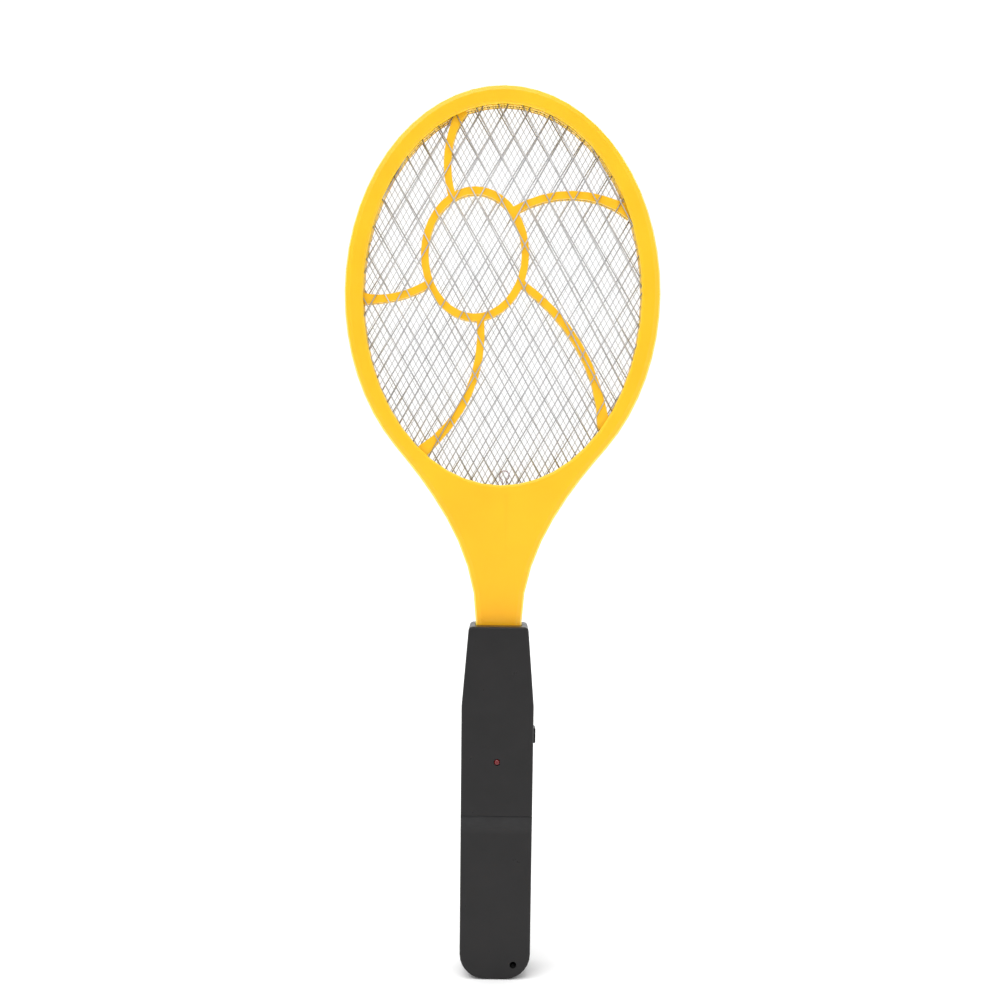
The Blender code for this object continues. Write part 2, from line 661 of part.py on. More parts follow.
def add_grids():
    outer = HEAD_HALF_DEPTH - LIP_THICK - GAP - GRID_THICK / 2
    add_grid("front_grid", -outer, GRID_THICK, MESH_PITCH_X, MESH_PITCH_Z, 0.0, 0.0)
    add_grid("rear_grid", outer, GRID_THICK, MESH_PITCH_X, MESH_PITCH_Z, MESH_PITCH_X / 2, 0.0)
    add_grid("centre_grid", 0.0, CENTRE_GRID_THICK, CENTRE_PITCH_X, CENTRE_PITCH_Z, 0.0, CENTRE_PITCH_Z / 4)


def add_spacer(name, side):
    """Ribs between an outer grid and the centre grid; the ribs are a little thinner than the rim."""
    near = side * (CENTRE_GRID_THICK / 2 + GAP)
    far = near + side * SPACER_THICK
    low, high = sorted((near, far))
    spacer = flat(name, HEAD, [opening(SEAT_WIDTH - GAP), opening()], low, high)
    hub_centre = (HUB_X, HUB_Z - OPENING_DROP)
    hub = flat(name + "_hub", HEAD,
               [ellipse(HUB_WIDTH / 2, HUB_HEIGHT / 2, hub_centre, 36),
                ellipse(HUB_WIDTH / 2 - RIB_WIDTH, HUB_HEIGHT / 2 - RIB_WIDTH, hub_centre, 36)],
               low + RIB_RELIEF / 2, high - RIB_RELIEF / 2, cutter=True)
    for i, sweep in enumerate(RIB_SWEEPS):
        rib = flat(f"{name}_rib_{i + 1}", HEAD, [rib_outline(*sweep)], low + RIB_RELIEF,
                   high - RIB_RELIEF, cutter=True)
        join(spacer, rib)
    join(spacer, hub)
    return paint(spacer, YELLOW, 0.4)


def add_terminal():
    """A wire loop that shows above the ring's foot, with both legs down into the neck."""
    spacer_middle = -(CENTRE_GRID_THICK / 2 + GAP + SPACER_THICK / 2)
    foot = -(OPENING_DROP + OPENING_Z)
    centre = (TERMINAL_X, foot + TERMINAL_RISE)
    legs_end = foot - SEAT_WIDTH - TERMINAL_ROOT
    right = TERMINAL_X + TERMINAL_LEG
    left = TERMINAL_X - TERMINAL_LEG
    loop = arc(centre, (TERMINAL_LOOP - TERMINAL_WIRE) / 2, *TERMINAL_TURN, 11)
    points = [(right, legs_end), (right, foot)] + loop + [(left, foot), (left, legs_end)]
    terminal = wire("grid_terminal", HEAD, [(x, spacer_middle, z) for x, z in points], TERMINAL_WIRE)
    paint(terminal, COPPER, 0.35, 1.0)
    room = TERMINAL_WIRE / 2 + GAP
    return box("terminal_notch_cutter", HEAD, (left - room, -HEAD_HALF_DEPTH, foot - 2 * SEAT_WIDTH),
               (right + room, 0.0, foot + OVER), cutter=True)


def add_grid_leads():
    """Insulated leads from the grids down the neck to the board."""
    foot = -(OPENING_DROP + OPENING_Z) - SEAT_WIDTH
    leads = {"centre_grid_lead": (1, foot - 2 * LEAD_RISE, RED),
             "outer_grid_lead": (-1, foot - LEAD_RISE, DARK)}
    board_top = BOARD_FOOT + BOARD_LENGTH - HEAD_Z
    board_y = BOARD_BACK + GAP + LEAD_DIAMETER / 2
    for name, (side, top_z, colour) in leads.items():
        x = side * (CASE_SCREW[2] / 2 + BOSS_WALL + LEAD_DIAMETER)
        points = [(x, board_y, board_top - LEAD_ON_BOARD), (x, board_y, board_top + LEAD_DIAMETER),
                  (x, 0.0, board_top + LEAD_RISE), (x, 0.0, HANDLE_TOP_LOCAL + LEAD_AT_NECK),
                  (x * 0.8, 0.0, (HANDLE_TOP_LOCAL + top_z) / 2), (x * 0.9, 0.0, top_z)]
        paint(wire(name, HEAD, points, LEAD_DIAMETER), colour, 0.5)


# ---------------------------------------------------------------- handle

def shell(name, low, high, y_outer, edge, **corners):
    """Half of the handle's case between two heights, hollowed, with its outer edges rounded."""
    side = 1 if y_outer > 0 else -1
    inner = side * GAP / 2
    y_low, y_high = sorted((y_outer, inner))
    case = flat(name, HANDLE, [handle_outline(low, high, **corners)], y_low, y_high)

    def at_seam(start, end):
        return any(abs(start.z - z) < GAP and abs(end.z - z) < GAP for z in (low, high) if seam(z))

    round_edges(case, side * (y_high - y_low) / 2, edge, keep_sharp=at_seam)
    hollow_low = low - OVER if seam(low) else low + WALL
    hollow_high = high + OVER if seam(high) else high - WALL
    foot = 0.0 if seam(low) else FOOT_RADIUS - WALL
    hollow_y = sorted((y_outer - side * WALL, -side * OVER))
    hollow = flat(name + "_hollow_cutter", HANDLE,
                  [handle_outline(hollow_low, hollow_high, WALL, foot_radius=foot)], *hollow_y, cutter=True)
    cut(case, hollow)
    return case


def seam(z):
    return 0.0 < z < HANDLE_LENGTH


def neck_notch(name):
    half = NECK_WIDTH / 2 + GAP
    depth = HEAD_HALF_DEPTH + GAP
    return box(name, HANDLE, (-half, -depth, HANDLE_LENGTH - 2 * WALL), (half, depth, HANDLE_LENGTH + OVER),
               cutter=True)


def button_slot(name):
    """The side button's slot, which both halves of the case share."""
    half_y = BUTTON_DEPTH / 2 + GAP
    half_z = BUTTON_HEIGHT / 2 + GAP
    edge = handle_half(BUTTON_Z)
    return box(name, HANDLE, (edge - 2 * WALL, -half_y, BUTTON_Z - half_z),
               (edge + OVER, half_y, BUTTON_Z + half_z), cutter=True)


def boss(name, spots, screw, y_low, y_high):
    return rods(name, HANDLE, spots, screw[2] / 2 + GAP + BOSS_WALL, y_low, y_high, cutter=True)


def add_front_shell():
    case = shell("handle_front_shell", COVER_HEIGHT + GAP / 2, HANDLE_LENGTH, FRONT, CASE_EDGE,
                 top_radius=TOP_RADIUS)
    wall_middle = FRONT + WALL / 2
    join(case, boss("case_bosses", CASE_SCREW_SPOTS, CASE_SCREW, wall_middle, -GAP / 2),
         boss("board_bosses", BOARD_SCREW_SPOTS, SMALL_SCREW, wall_middle, BOARD_FRONT - GAP))
    cut(case, neck_notch("front_neck_cutter"), button_slot("front_button_cutter"),
        rods("case_pilot_cutter", HANDLE, CASE_SCREW_SPOTS, CASE_SCREW[2] / 2 + GAP,
             FRONT + 2 * WALL, OVER, cutter=True),
        rods("board_pilot_cutter", HANDLE, BOARD_SCREW_SPOTS, SMALL_SCREW[2] / 2 + GAP,
             FRONT + 1.5 * WALL, BOARD_FRONT + OVER, cutter=True),
        rods("led_hole_cutter", HANDLE, [(0.0, LED_Z)], LED_DIAMETER / 2 + GAP / 2, FRONT - OVER,
             FRONT + 2 * WALL, cutter=True))
    return paint(case, BLACK, 0.5)


def add_rear_shell():
    rear = HANDLE_DEPTH / 2
    case = shell("handle_rear_shell", 0.0, HANDLE_LENGTH, rear, CASE_EDGE, foot_radius=FOOT_RADIUS,
                 top_radius=TOP_RADIUS)
    wall_middle = rear - WALL / 2
    partitions = []
    for name, low in (("lower_partition", FOOT_ROOM - PARTITION), ("upper_partition", BAY_TOP)):
        half = handle_half(low) - WALL - GAP
        partitions.append(box(name, HANDLE, (-half, PARTITION_FRONT, low),
                              (half, wall_middle, low + PARTITION), cutter=True))
    neck_spot = [(0.0, NECK_SCREW_Z)]
    join(case, *partitions, boss("rear_case_bosses", CASE_SCREW_SPOTS, CASE_SCREW, GAP / 2, wall_middle),
         boss("neck_boss", neck_spot, CASE_SCREW, HEAD_HALF_DEPTH + GAP, wall_middle),
         boss("cover_screw_boss", [(COVER_SCREW_X, COVER_SCREW_Z)], SMALL_SCREW, cover_boss_face(),
              wall_middle))
    cut(case, neck_notch("rear_neck_cutter"), button_slot("rear_button_cutter"))
    for name, spots, depth in (("case", CASE_SCREW_SPOTS, 2.5 * WALL), ("neck", neck_spot, 2.0 * WALL)):
        seat = rear - depth
        head = CASE_SCREW[0] / 2 + GAP
        shank = CASE_SCREW[2] / 2 + GAP
        cut(case, rods(name + "_head_cutter", HANDLE, spots, head, seat, rear + OVER, cutter=True),
            rods(name + "_through_cutter", HANDLE, spots, shank, -OVER, seat + OVER, cutter=True))
    cut(case, rods("cover_pilot_cutter", HANDLE, [(COVER_SCREW_X, COVER_SCREW_Z)], cover_pilot_radius(),
                   cover_boss_face() - OVER, cover_boss_face() + COVER_SCREW_BITE + OVER, cutter=True))
    return paint(case, BLACK, 0.5)


def cover_shelf():
    """Height in Y of the shelf that the cover screw's head seats on."""
    return FRONT + COVER_SCREW_RECESS + SMALL_SCREW[1]


def cover_boss_face():
    return cover_shelf() + 2 * GAP + BOSS_WALL


def cover_pilot_radius():
    """Wide enough for the screw's tip to swing out of the boss with the cover."""
    tip = cover_boss_face() + COVER_SCREW_BITE - PIVOT.y
    swing = tip * COVER_SCREW_BITE / (COVER_HEIGHT - COVER_SCREW_Z)
    return SMALL_SCREW[2] / 2 + swing + GAP


def add_battery_cover():
    """The lower front of the handle: two tongues at its top are its pivot, one screw holds its foot."""
    cover = shell("battery_cover", 0.0, COVER_HEIGHT - GAP / 2, FRONT, CASE_EDGE, foot_radius=FOOT_RADIUS)
    spot = [(COVER_SCREW_X, COVER_SCREW_Z)]
    shelf = cover_shelf() + GAP
    bore = SMALL_SCREW[0] / 2 + GAP
    join(cover, rods("cover_tube", HANDLE, spot, bore + BOSS_WALL, FRONT + WALL / 2, shelf + BOSS_WALL,
                     cutter=True))
    for side in (-1, 1):
        join(cover, tongue(side))
    cut(cover, rods("cover_bore_cutter", HANDLE, spot, bore, FRONT - OVER, shelf, cutter=True),
        rods("cover_shank_cutter", HANDLE, spot, SMALL_SCREW[2] / 2 + GAP, FRONT, shelf + 2 * BOSS_WALL,
             cutter=True), thumb_ramp())
    cover.parent = COVER_PIVOT
    cover.location -= PIVOT
    return paint(cover, BLACK, 0.5)


def tongue(side):
    """A tongue that hooks behind the front shell's lower edge, drawn in (y, z)."""
    root = FRONT + WALL / 2 + RAMP_DEPTH / 2
    near = FRONT + WALL + GAP
    far = near + TONGUE_THICK
    step = COVER_HEIGHT - GAP
    outline = [(root, step - TONGUE_REACH), (far, step - TONGUE_REACH), (far, COVER_HEIGHT + TONGUE_REACH),
               (near, COVER_HEIGHT + TONGUE_REACH), (near, step), (root, step)]
    middle = side * TONGUE_SPREAD
    hook = flat(f"cover_tongue_{(side + 3) // 2}", HANDLE, [outline], middle - TONGUE_WIDTH / 2,
                middle + TONGUE_WIDTH / 2, cutter=True)
    return across_x(hook)


def across_x(piece):
    """Turns a piece drawn in (y, z) so that its thickness runs along X."""
    middle = piece.location.y
    piece.location = (-middle, 0.0, 0.0)
    piece.rotation_euler.z = math.radians(90)
    return piece


def thumb_ramp():
    """What a round-over takes off the cover's top edge, drawn in (y, z)."""
    radius = (RAMP_LENGTH**2 + RAMP_DEPTH**2) / (2 * RAMP_DEPTH)
    centre = (FRONT + radius - GAP / 10, COVER_HEIGHT - RAMP_LENGTH)
    end = 180 - math.degrees(math.asin(RAMP_LENGTH / radius))
    curve = arc(centre, radius, 180, end, 8)
    above = COVER_HEIGHT + OVER
    outside = FRONT - 2 * OVER
    outline = curve + [(curve[-1][0], above), (outside, above), (outside, centre[1])]
    return across_x(flat("thumb_ramp_cutter", HANDLE, [outline], -HANDLE_WIDTH, HANDLE_WIDTH, cutter=True))


def add_handle_screws():
    rear = HANDLE_DEPTH / 2
    seat = rear - 2.5 * WALL + GAP
    length = seat - (FRONT + 2 * WALL + GAP)
    for i, (x, z) in enumerate(CASE_SCREW_SPOTS):
        add_screw(f"case_screw_{i + 1}", HANDLE, CASE_SCREW, length, (x, seat, z), TO_REAR)
    seat = rear - 2.0 * WALL + GAP
    length = seat - (-HEAD_HALF_DEPTH + LIP_THICK + GAP)
    add_screw("neck_screw", HANDLE, CASE_SCREW, length, (0.0, seat, NECK_SCREW_Z), TO_REAR)
    seat = BOARD_BACK + GAP
    length = seat - (FRONT + 1.5 * WALL + GAP)
    for i, (x, z) in enumerate(BOARD_SCREW_SPOTS):
        add_screw(f"board_screw_{i + 1}", HANDLE, SMALL_SCREW, length, (x, seat, z), TO_REAR)
    length = cover_boss_face() + COVER_SCREW_BITE - cover_shelf()
    spot = Vector((COVER_SCREW_X, cover_shelf(), COVER_SCREW_Z)) - PIVOT
    add_screw("cover_screw", COVER_PIVOT, SMALL_SCREW, length, spot, TO_FRONT)


# ---------------------------------------------------------------- button, light and board

def add_button():
    edge = handle_half(BUTTON_Z)
    slide = add_empty("button_slide", (edge, 0.0, BUTTON_Z))
    back = -(WALL + GAP + BUTTON_FLANGE)
    half_y = BUTTON_DEPTH / 2
    half_z = BUTTON_HEIGHT / 2
    root = back + BUTTON_FLANGE / 2
    cap = box("side_button", slide, (root, -half_y, -half_z), (BUTTON_STANDOUT, half_y, half_z))
    soften(cap, BUTTON_ROUNDING)
    flange = box("button_flange", slide, (back, -half_y - BUTTON_FLANGE, -half_z - BUTTON_FLANGE),
                 (back + BUTTON_FLANGE, half_y + BUTTON_FLANGE, half_z + BUTTON_FLANGE), cutter=True)
    join(cap, flange)
    paint(cap, DARK, 0.42)
    tip = back - GAP
    face = tip - PLUNGER_SHOW
    switch_y = BOARD_BACK + GAP + SWITCH_SIZE / 2
    radius = PLUNGER_DIAMETER / 2
    length = PLUNGER_SHOW + PLUNGER_HELD
    profile = [(0.0, length), (radius - PLUNGER_EDGE, length), (radius, length - PLUNGER_EDGE), (radius, 0.0),
               (0.0, 0.0)]
    plunger = turned("switch_plunger", slide, profile, (face - PLUNGER_HELD, switch_y, 0.0), TO_RIGHT)
    paint(plunger, CREAM, 0.45)
    half = SWITCH_SIZE / 2
    world_face = edge + face
    body = box("switch_body", HANDLE, (world_face - SWITCH_SIZE, switch_y - half, BUTTON_Z - half),
               (world_face, switch_y + half, BUTTON_Z + half))
    depth = PLUNGER_HELD + BUTTON_TRAVEL + GAP
    bore = radius + GAP
    profile = [(0.0, depth + OVER), (bore, depth + OVER), (bore, 0.0), (0.0, 0.0)]
    well = turned("plunger_well_cutter", HANDLE, profile, (world_face - depth, switch_y, BUTTON_Z), TO_RIGHT)
    hide_as_cutter(well)
    cut(body, well)
    paint(body, DARK, 0.4)


def hide_as_cutter(piece):
    SWATTER.objects.unlink(piece)
    CUTTERS.objects.link(piece)
    piece.display_type = "WIRE"
    piece.hide_render = True


def add_led():
    radius = LED_DIAMETER / 2
    height = WALL + GAP + LED_FLANGE + LED_DOME
    profile = [(radius * math.sin(turn), height - LED_CROWN + LED_CROWN * math.cos(turn))
               for turn in map(math.radians, (0, 25, 50, 72, 90))]
    rim = radius + LED_RIM
    profile += [(radius, LED_FLANGE), (rim, LED_FLANGE), (rim, 0.0), (0.0, 0.0)]
    back = FRONT + WALL + GAP + LED_FLANGE
    paint(turned("indicator_led", HANDLE, profile, (0.0, back, LED_Z), TO_FRONT), RED, 0.15)
    for i, x in enumerate((-LED_PIN_X, LED_PIN_X)):
        paint(rods(f"led_leg_{i + 1}", HANDLE, [(x, LED_Z)], LEG_DIAMETER / 2, back + GAP, BOARD_FRONT - GAP,
                   segments=8), STEEL, 0.3, 1.0)


def add_board():
    half = BOARD_WIDTH / 2
    board = box("circuit_board", HANDLE, (-half, BOARD_FRONT, BOARD_FOOT),
                (half, BOARD_BACK, BOARD_FOOT + BOARD_LENGTH))
    cut(board, rods("board_hole_cutter", HANDLE, BOARD_SCREW_SPOTS, SMALL_SCREW[2] / 2 + GAP,
                    BOARD_FRONT - OVER, BOARD_BACK + OVER, cutter=True))
    paint(board, GREEN, 0.45)


def on_board(spot):
    """A place on the board's rear face: across from its middle and up from its foot."""
    return Vector((spot[0], BOARD_BACK + GAP, BOARD_FOOT + spot[1]))


def add_transformer():
    """A ferrite core round a winding that stands through its window."""
    middle = on_board(TRANSFORMER_SPOT)

    def rectangle(width, height):
        x = width / 2
        z = height / 2
        return [(middle.x + x, middle.z - z), (middle.x + x, middle.z + z), (middle.x - x, middle.z + z),
                (middle.x - x, middle.z - z)]

    near = middle.y + CORE_RAISE
    outside = rectangle(WINDOW[0] + 2 * CORE_BAR, WINDOW[1] + 2 * CORE_BAR)
    core = flat("transformer_core", HANDLE, [outside, rectangle(*WINDOW)], near, near + CORE_DEPTH)
    paint(core, (0.09, 0.09, 0.10), 0.6)
    half = Vector((WINDOW[0] / 2 - GAP, 0.0, WINDOW[1] / 2 - GAP))
    tall = Vector((0.0, CORE_DEPTH + WINDING_STANDOUT, 0.0))
    winding = box("transformer_winding", HANDLE, middle - half, middle + half + tall)
    soften(winding, WINDING_ROUNDING)
    paint(winding, (0.80, 0.66, 0.16), 0.4)


def axial(name, spot, size, colour):
    """A resistor or diode that lies along X, with straight leads."""
    body_length, diameter, lead_length = size
    radius = diameter / 2
    half = body_length / 2
    lead = LEG_DIAMETER / 2
    profile = [(0.0, half + lead_length), (lead, half + lead_length), (lead, half), (radius, half),
               (radius, -half), (lead, -half), (lead, -half - lead_length), (0.0, -half - lead_length)]
    middle = on_board(spot) + Vector((0.0, radius, 0.0))
    paint(turned(name, HANDLE, profile, middle, TO_RIGHT, 12), colour, 0.4)


def add_capacitors_and_diodes():
    low = on_board(FILM_SPOT)
    capacitor = box("film_capacitor", HANDLE, low, low + Vector(FILM_SIZE))
    soften(capacitor, FILM_ROUNDING)
    paint(capacitor, (0.42, 0.10, 0.05), 0.35)
    for i in range(3):
        spot = on_board(((i - 1) * DISC_PITCH, DISC_RISE))
        disc = rods(f"multiplier_capacitor_{i + 1}", HANDLE, [(spot.x, spot.z)], DISC_RADIUS, spot.y,
                    spot.y + DISC_THICK, segments=14)
        soften(disc, DISC_ROUNDING, 1)
        paint(disc, (0.10, 0.25, 0.62), 0.35)
        axial(f"multiplier_diode_{i + 1}", ((i - 1) * DIODE_PITCH, DIODE_RISE), DIODE, DARK)
    axial("base_resistor", BASE_RESISTOR_SPOT, RESISTOR, BEIGE)
    axial("led_resistor", LED_RESISTOR_SPOT, RESISTOR, BEIGE)


def add_transistor():
    """A round case with one flat side."""
    spot = on_board(TRANSISTOR_SPOT)
    far = spot.y + TRANSISTOR_LENGTH
    case = rods("oscillator_transistor", HANDLE, [(spot.x, spot.z)], TRANSISTOR_RADIUS, spot.y, far)
    flat_side = spot.x + TRANSISTOR_FLAT * TRANSISTOR_RADIUS
    reach = 2 * TRANSISTOR_RADIUS
    cut(case, box("transistor_flat_cutter", HANDLE, (flat_side, spot.y - OVER, spot.z - reach),
                  (flat_side + reach, far + OVER, spot.z + reach), cutter=True))
    paint(case, DARK, 0.45)


# ---------------------------------------------------------------- batteries

def cell_profile():
    radius = CELL_DIAMETER / 2
    body = CELL_LENGTH - NUB_HEIGHT
    return [(0.0, CELL_LENGTH), (NUB_DIAMETER / 2, CELL_LENGTH), (NUB_DIAMETER / 2, body),
            (radius - CELL_SHOULDER, body), (radius, body - CELL_SHOULDER), (radius, CELL_FOOT_EDGE),
            (radius - CELL_FOOT_EDGE, 0.0), (0.0, 0.0)]


def add_cells():
    """Two cells side by side, head to tail."""
    low = FOOT_ROOM + 2 * GAP + PLATE_THICK
    paint(turned("battery_1", HANDLE, cell_profile(), (-CELL_X, CELL_Y, low + SPRING_LENGTH + GAP),
                 steps=20), (0.10, 0.22, 0.42), 0.3, 0.4)
    paint(turned("battery_2", HANDLE, cell_profile(), (CELL_X, CELL_Y, low + CELL_LENGTH), (180, 0, 0),
                 20), (0.10, 0.22, 0.42), 0.3, 0.4)


def spring_coil(name, x, base):
    """A conical contact spring on a plate, narrower towards the cell."""
    turn_points = 9
    count = int(SPRING_TURNS * turn_points)
    rise = SPRING_LENGTH - SPRING_WIRE
    points = []
    for i in range(count + 1):
        share = i / count
        angle = 2 * math.pi * SPRING_TURNS * share
        radius = SPRING_WIDE + (SPRING_NARROW - SPRING_WIDE) * share
        points.append((x + radius * math.cos(angle), CELL_Y + radius * math.sin(angle),
                       base + SPRING_WIRE / 2 + rise * share))
    return paint(wire(name, HANDLE, points, SPRING_WIRE), STEEL, 0.25, 1.0)


def add_contacts():
    half = PLATE_WIDTH / 2
    floor = FOOT_ROOM + GAP
    ceiling = BAY_TOP - GAP
    paint(box("bridge_contact", HANDLE, (-CELL_X - half, CELL_Y - half, floor),
              (CELL_X + half, CELL_Y + half, floor + PLATE_THICK)), STEEL, 0.3, 1.0)
    for name, x in (("positive_contact", -CELL_X), ("negative_contact", CELL_X)):
        paint(box(name, HANDLE, (x - half, PARTITION_FRONT, ceiling - PLATE_THICK),
                  (x + half, CELL_Y + half, ceiling)), STEEL, 0.3, 1.0)
    spring_coil("bridge_spring", -CELL_X, floor + PLATE_THICK + GAP)
    spring_coil("negative_spring", CELL_X, ceiling - PLATE_THICK - GAP - SPRING_LENGTH)


def add_battery_leads():
    y = PARTITION_FRONT - GAP - LEAD_DIAMETER / 2
    start = BAY_TOP - GAP - PLATE_THICK
    board_y = BOARD_BACK + GAP + LEAD_DIAMETER / 2
    for name, x, end_x, colour in (("battery_lead_positive", -CELL_X, POSITIVE_LEAD_X, RED),
                                   ("battery_lead_negative", CELL_X, CELL_X, DARK)):
        points = [(x, y, start), (x, y, COVER_HEIGHT), (end_x, board_y, BOARD_FOOT),
                  (end_x, board_y, BOARD_FOOT + LEAD_ON_BOARD - GAP)]
        paint(wire(name, HANDLE, points, LEAD_DIAMETER), colour, 0.5)


clear_scene()
SWATTER = new_collection("electric_fly_swatter")
CUTTERS = new_collection("cutters")
HANDLE = add_empty("handle", (0.0, 0.0, 0.0))
HEAD = add_empty("head", (0.0, 0.0, HEAD_Z))
COVER_PIVOT = add_empty("cover_pivot", PIVOT)

add_frames()
add_grids()
FRONT_SPACER = add_spacer("front_spacer", -1)
add_spacer("rear_spacer", 1)
cut(FRONT_SPACER, add_terminal())
add_grid_leads()
add_front_shell()
add_rear_shell()
add_battery_cover()
add_handle_screws()
add_button()
add_led()
add_board()
add_transformer()
add_capacitors_and_diodes()
add_transistor()
add_cells()
add_contacts()
add_battery_leads()
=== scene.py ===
"""Visual model of an electric fly swatter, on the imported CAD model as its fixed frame.

Metres, +Z up the swatter, the front looks towards -Y.  Places come from the CAD nodes, except the points
where the nets' wires cross and the flow line's place across the neck: those are driving sizes.
"""
import json
import math

import bmesh
import bpy
from mathutils import Matrix, Vector


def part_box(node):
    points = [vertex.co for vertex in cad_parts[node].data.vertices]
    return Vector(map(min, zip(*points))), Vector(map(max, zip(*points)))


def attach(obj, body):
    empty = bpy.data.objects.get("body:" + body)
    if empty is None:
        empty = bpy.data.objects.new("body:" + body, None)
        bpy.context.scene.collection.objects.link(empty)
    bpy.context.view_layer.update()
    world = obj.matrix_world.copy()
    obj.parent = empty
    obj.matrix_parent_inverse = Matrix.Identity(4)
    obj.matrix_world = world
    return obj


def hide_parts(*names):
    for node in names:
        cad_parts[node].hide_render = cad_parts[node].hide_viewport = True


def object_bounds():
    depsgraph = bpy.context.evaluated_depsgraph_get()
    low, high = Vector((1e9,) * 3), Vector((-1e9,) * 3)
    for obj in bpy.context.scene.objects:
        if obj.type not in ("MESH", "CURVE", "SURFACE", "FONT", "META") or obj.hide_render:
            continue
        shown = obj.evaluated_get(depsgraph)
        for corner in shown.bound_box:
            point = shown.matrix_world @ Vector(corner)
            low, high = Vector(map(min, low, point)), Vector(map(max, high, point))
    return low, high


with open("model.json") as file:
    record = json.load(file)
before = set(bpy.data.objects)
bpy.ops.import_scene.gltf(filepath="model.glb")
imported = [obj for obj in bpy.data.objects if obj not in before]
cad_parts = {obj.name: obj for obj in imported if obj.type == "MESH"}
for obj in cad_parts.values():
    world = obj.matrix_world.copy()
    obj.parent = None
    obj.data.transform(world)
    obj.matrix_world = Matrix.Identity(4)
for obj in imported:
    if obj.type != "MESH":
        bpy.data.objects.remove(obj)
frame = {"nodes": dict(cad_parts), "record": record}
CAD_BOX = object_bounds()
NODES = frame["nodes"]
BODY = "swatter_body"
MM = 0.001
MATERIAL_PREFIX = "swatter_"

# Wire nets: round wires that lean both ways, welded where they cross.  The two coarse nets differ a little,
# so that their wires lie close together at the head's top and spread evenly at its foot.
FRONT_ANGLE = 61.35                 # of the wires, in degrees from the horizontal
REAR_ANGLE = 59.49
NET_TURN = -0.27                    # degrees that all three nets sit turned in their frame
FRONT_PITCH = 10.47 * MM            # across the wires
REAR_PITCH = 10.33 * MM
COARSE_WIRE = 0.58 * MM
FINE_PITCH = FRONT_PITCH / 4
FINE_WIRE = 0.28 * MM
COARSE_SIDES = 10                   # flats around a wire
FINE_SIDES = 6
SHORTEST_WIRE = 2                   # in pitches; shorter ones are left out at the net's edge
WELD_DEPTH = 0.4                    # part of a wire's radius that the two layers sink into each other
FRONT_CROSSING = Vector((-7.24 * MM, 0.0, 330.3 * MM))
REAR_CROSSING = Vector((-2.07 * MM, 0.0, 327.1 * MM))

# Flow line in the yellow plastic of the neck, and painted shade that deepens the neck's yellow down to the
# black handle
FLOW_X = 3.0 * MM
FLOW_WIDTH = 2.5 * MM
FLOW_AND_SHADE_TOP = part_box("front_spacer")[0].z
FLOW_STRENGTH = 0.35
# painted shade: how far the neck's yellow deepens at its foot by the handle
PAINTED_NECK_SHADE_STRENGTH = 0.55
NECK_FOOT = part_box("handle_front_shell")[1].z
FLOW_LINE_AND_SHADE_COLOUR = (0.97, 0.415, 0.006)
# painted sheen: the paler yellow where the surface turns away from the front and rear
PAINTED_SHEEN_COLOUR = (0.98, 0.640, 0.030)

# Painted light on the thumb ramp at the battery cover's top, where light from above falls on the
# upward-facing scoop
RAMP_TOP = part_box("handle_front_shell")[0].z
RAMP_FADE = 9.0 * MM
# painted light: the paler colour of the thumb ramp
PAINTED_RAMP_LIGHT_COLOUR = (0.030, 0.030, 0.031)

# Lip inside the left wall that laps the handle's seam, from the cells' top to the neck's tongue
LIP_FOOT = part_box("positive_contact")[1].z
LIP_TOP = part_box("front_frame")[0].z - 0.5 * MM
LIP_DEPTH = 3.0 * MM
LIP_THICKNESS = 0.8 * MM
LIP_SKIN = 2.1 * MM                 # from the wall's outer face
TOP_ROUND = 1.9 * MM                # a little less than the rounding's height at the handle's top
LEVEL = 0.1 * MM                    # corners this close in height count as level

# Camera, in front of the swatter
CAMERA_DISTANCE = 600 * MM
CAMERA_LENS = 42.97
CAMERA_HEIGHT = 235.1 * MM
CAMERA_X = 0.2 * MM
CAMERA_ROLL = -0.68                 # degrees
SENSOR_WIDTH = 36.0

# Light.  Brightness of the white room on its front and back, and as the camera sees it
ROOM_FRONT = 0.45
ROOM_BACK = 1.0
ROOM_SEEN = 1.05
ROOM_TURN = (-1.0, 0.3)             # from front to back, as directions along Y
OVERHEAD = 2.1
OVERHEAD_SPREAD = 60                # degrees
OVERHEAD_PLACE = (-0.4, -0.7, 1.4)
FILL_PLACE = (1.2, -1.0, 0.7)
FILL_SIZE = (1.0, 1.4)
FILL_WATTS = 3.0
BACK_PLACE = (0.3, 1.6, 1.3)
BACK_SIZE = (1.6, 1.0)
BACK_WATTS = 5.0

# Floor
FLOOR_RADIUS = 14.0
FLOOR_SEGMENTS = 96
FLOOR_GAP = 0.2 * MM                # below the swatter's foot


# ---------------------------------------------------------------- material building blocks

